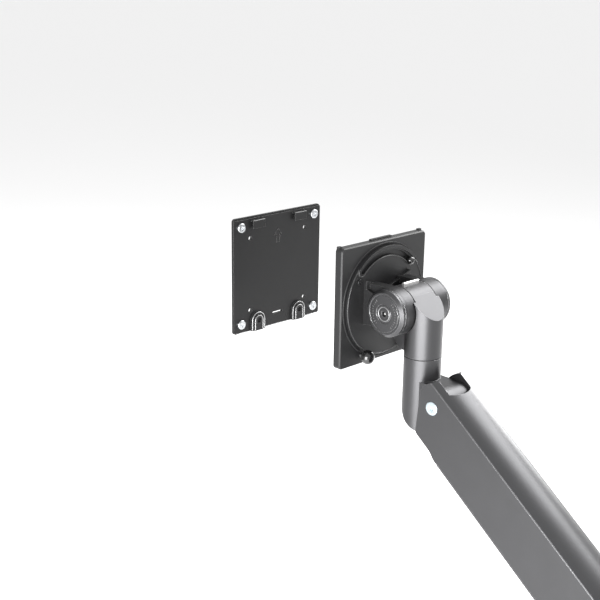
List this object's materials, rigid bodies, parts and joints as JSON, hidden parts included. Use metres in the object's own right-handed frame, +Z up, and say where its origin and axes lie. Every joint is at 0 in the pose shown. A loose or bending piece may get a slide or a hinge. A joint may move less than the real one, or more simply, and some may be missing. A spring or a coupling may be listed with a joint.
{
  "type": "monitor arm",
  "caption": "Gas-spring monitor arm with a desk clamp, swivelling lower arm, lifting upper arm, tilting and rotating head, and a quick-release screen plate.",
  "frame": {"origin": "post axis at the desk surface", "axes": "+Z up, +Y towards the screen, +X to the right of somebody behind the screen"},
  "size_m": [0.3515, 0.551, 0.6157],
  "materials": {
    "gunmetal_steel": "satin metallic powder coat over steel",
    "gunmetal_paint": "satin metallic powder coat over cast aluminium",
    "black_cast": "fine matte powder coat",
    "black_sheet": "matte powder coat on pressed steel",
    "cover_plastic": "fine moulded texture",
    "knob_black": "gloss",
    "zinc_screws": "bright zinc plate",
    "black_screws": "black oxide",
    "steel": "turned steel",
    "bright_steel": "bright",
    "nylon": "moulded",
    "rubber": "matt",
    "cylinder_paint": "satin black"
  },
  "bodies": {
    "base": {"base_pad": "rubber", "base_plate": "gunmetal_steel", "post": "gunmetal_steel", "post_shaft": "steel", "post_washer": "nylon", "post_retaining_screw": "black_screws", "clamp_bracket": "gunmetal_steel", "base_bolts": "black_screws"},
    "clamp_jaw": {"jaw_plate": "steel", "jaw_rubber": "rubber"},
    "clamp_spindle": {"clamp_screw": "steel", "clamp_handle": "steel", "clamp_handle_caps": "cover_plastic"},
    "lower_arm": {"lower_arm": "gunmetal_paint", "lower_arm_cover": "cover_plastic", "lower_arm_bushes": "nylon", "hub_caps": "cover_plastic", "cable_clips": "cover_plastic"},
    "elbow": {"rear_bracket": "gunmetal_paint", "rear_pivot_bushes": "nylon", "link_rear_pin": "steel", "elbow_shaft": "steel", "elbow_washer": "nylon", "elbow_retaining_screw": "black_screws"},
    "tension_adjuster": {"tension_screw": "black_screws"},
    "upper_arm": {"upper_arm_shell": "gunmetal_paint", "under_cover": "cover_plastic", "arm_pivot_pins": "steel", "arm_pivot_screws": "zinc_screws"},
    "levelling_link": {"levelling_link": "steel"},
    "spring_cylinder": {"gas_cylinder": "cylinder_paint"},
    "spring_rod": {"gas_rod": "steel"},
    "lower_neck": {"lower_neck": "gunmetal_paint", "front_pivot_bushes": "nylon", "link_front_pin": "steel", "pan_bush": "nylon"},
    "upper_neck": {"upper_neck": "gunmetal_paint", "pan_shaft": "steel", "pan_ring": "nylon", "tilt_washers": "nylon", "tilt_stop_tab": "bright_steel"},
    "tilt_head": {"tilt_bracket": "black_cast", "slotted_disc": "black_cast", "disc_screw": "black_screws", "tilt_shaft": "steel", "tilt_end_caps": "gunmetal_paint", "rotation_bolt": "zinc_screws", "rotation_washer": "zinc_screws", "rotation_nut": "zinc_screws"},
    "head_plate": {"head_plate": "black_cast", "rotation_bush": "nylon", "rotation_stop_screw": "knob_black"},
    "thumb_collar_left": {"thumb_washer_left": "nylon"},
    "thumb_knob_left": {"thumb_screw_left": "knob_black"},
    "thumb_collar_right": {"thumb_washer_right": "nylon"},
    "thumb_knob_right": {"thumb_screw_right": "knob_black"},
    "quick_release_plate": {"adapter_plate": "black_sheet", "adapter_screws": "zinc_screws", "thumb_inserts": "steel"}
  },
  "joints": [
    {"name": "base_swivel", "type": "hinge", "parent": "base", "child": "lower_arm", "pos_m": [0, 0, 0.092], "axis": [0, 0, 1], "range_deg": [-90, 90]},
    {"name": "elbow_swivel", "type": "hinge", "parent": "lower_arm", "child": "elbow", "pos_m": [-0.24, 0, 0.092], "axis": [0, 0, 1], "range_deg": [-45, 120]},
    {"name": "tension_turn", "type": "hinge", "parent": "elbow", "child": "tension_adjuster", "pos_m": [-0.24, -0.0235, 0.1195], "axis": [0, 1, 0], "range_deg": [-720, 720]},
    {"name": "lift", "type": "hinge", "parent": "elbow", "child": "upper_arm", "pos_m": [-0.24, 0.035, 0.1723], "axis": [1, 0, 0], "range_deg": [-60, 8]},
    {"name": "link_swing", "type": "hinge", "parent": "elbow", "child": "levelling_link", "pos_m": [-0.24, 0.035, 0.1503], "axis": [1, 0, 0], "range_deg": [-61, 9]},
    {"name": "spring_swing", "type": "hinge", "parent": "elbow", "child": "spring_cylinder", "pos_m": [-0.24, 0.035, 0.1503], "axis": [1, 0, 0], "range_deg": [-59.23, 8.89]},
    {"name": "spring_stroke", "type": "slide", "parent": "spring_cylinder", "child": "spring_rod", "axis": [0, 0.7311, 0.6822], "range_m": [-0.02142, 0.00372]},
    {"name": "neck_level", "type": "hinge", "parent": "upper_arm", "child": "lower_neck", "pos_m": [-0.24, 0.25744, 0.34236], "axis": [1, 0, 0], "range_deg": [-9, 61]},
    {"name": "neck_pan", "type": "hinge", "parent": "lower_neck", "child": "upper_neck", "pos_m": [-0.24, 0.28854, 0.38077], "axis": [0, 0, 1], "range_deg": [-90, 90]},
    {"name": "head_tilt", "type": "hinge", "parent": "upper_neck", "child": "tilt_head", "pos_m": [-0.24, 0.30704, 0.42217], "axis": [1, 0, 0], "range_deg": [-15, 45]},
    {"name": "head_rotation", "type": "hinge", "parent": "tilt_head", "child": "head_plate", "pos_m": [-0.24, 0.33904, 0.42217], "axis": [0, -1, 0], "range_deg": [0, 88]},
    {"name": "quick_release", "type": "slide", "parent": "head_plate", "child": "quick_release_plate", "axis": [0, 1, 0], "range_m": [-0.1377, 0]},
    {"name": "clamp_travel", "type": "slide", "parent": "base", "child": "clamp_jaw", "axis": [0, 0, 1], "range_m": [-0.045, 0.015]},
    {"name": "clamp_turn", "type": "hinge", "parent": "clamp_jaw", "child": "clamp_spindle", "pos_m": [0, 0, -0.09], "axis": [0, 0, 1], "range_deg": [-9277.1, 3105.7]},
    {"name": "thumb_travel_left", "type": "slide", "parent": "head_plate", "child": "thumb_collar_left", "axis": [0, 1, 0], "range_m": [-0.006, 0]},
    {"name": "thumb_turn_left", "type": "hinge", "parent": "thumb_collar_left", "child": "thumb_knob_left", "pos_m": [-0.2683, 0.33104, 0.37317], "axis": [0, 1, 0], "range_deg": [-2705, 5]},
    {"name": "thumb_travel_right", "type": "slide", "parent": "head_plate", "child": "thumb_collar_right", "axis": [0, 1, 0], "range_m": [-0.006, 0]},
    {"name": "thumb_turn_right", "type": "hinge", "parent": "thumb_collar_right", "child": "thumb_knob_right", "pos_m": [-0.2117, 0.33104, 0.37317], "axis": [0, 1, 0], "range_deg": [-2705, 5]}
  ],
  "couplings": [
    {"joint": "link_swing", "follows": "lift", "ratio": 1},
    {"joint": "neck_level", "follows": "lift", "ratio": -1},
    {"joint": "spring_swing", "follows": "lift", "ratio": 0.968},
    {"joint": "spring_stroke", "follows": "lift", "m_per_rad": 0.0195},
    {"joint": "clamp_turn", "follows": "clamp_travel", "rad_per_m": 3590.4},
    {"joint": "thumb_turn_left", "follows": "thumb_travel_left", "rad_per_m": 7854},
    {"joint": "thumb_turn_right", "follows": "thumb_travel_right", "rad_per_m": 7854}
  ]
}
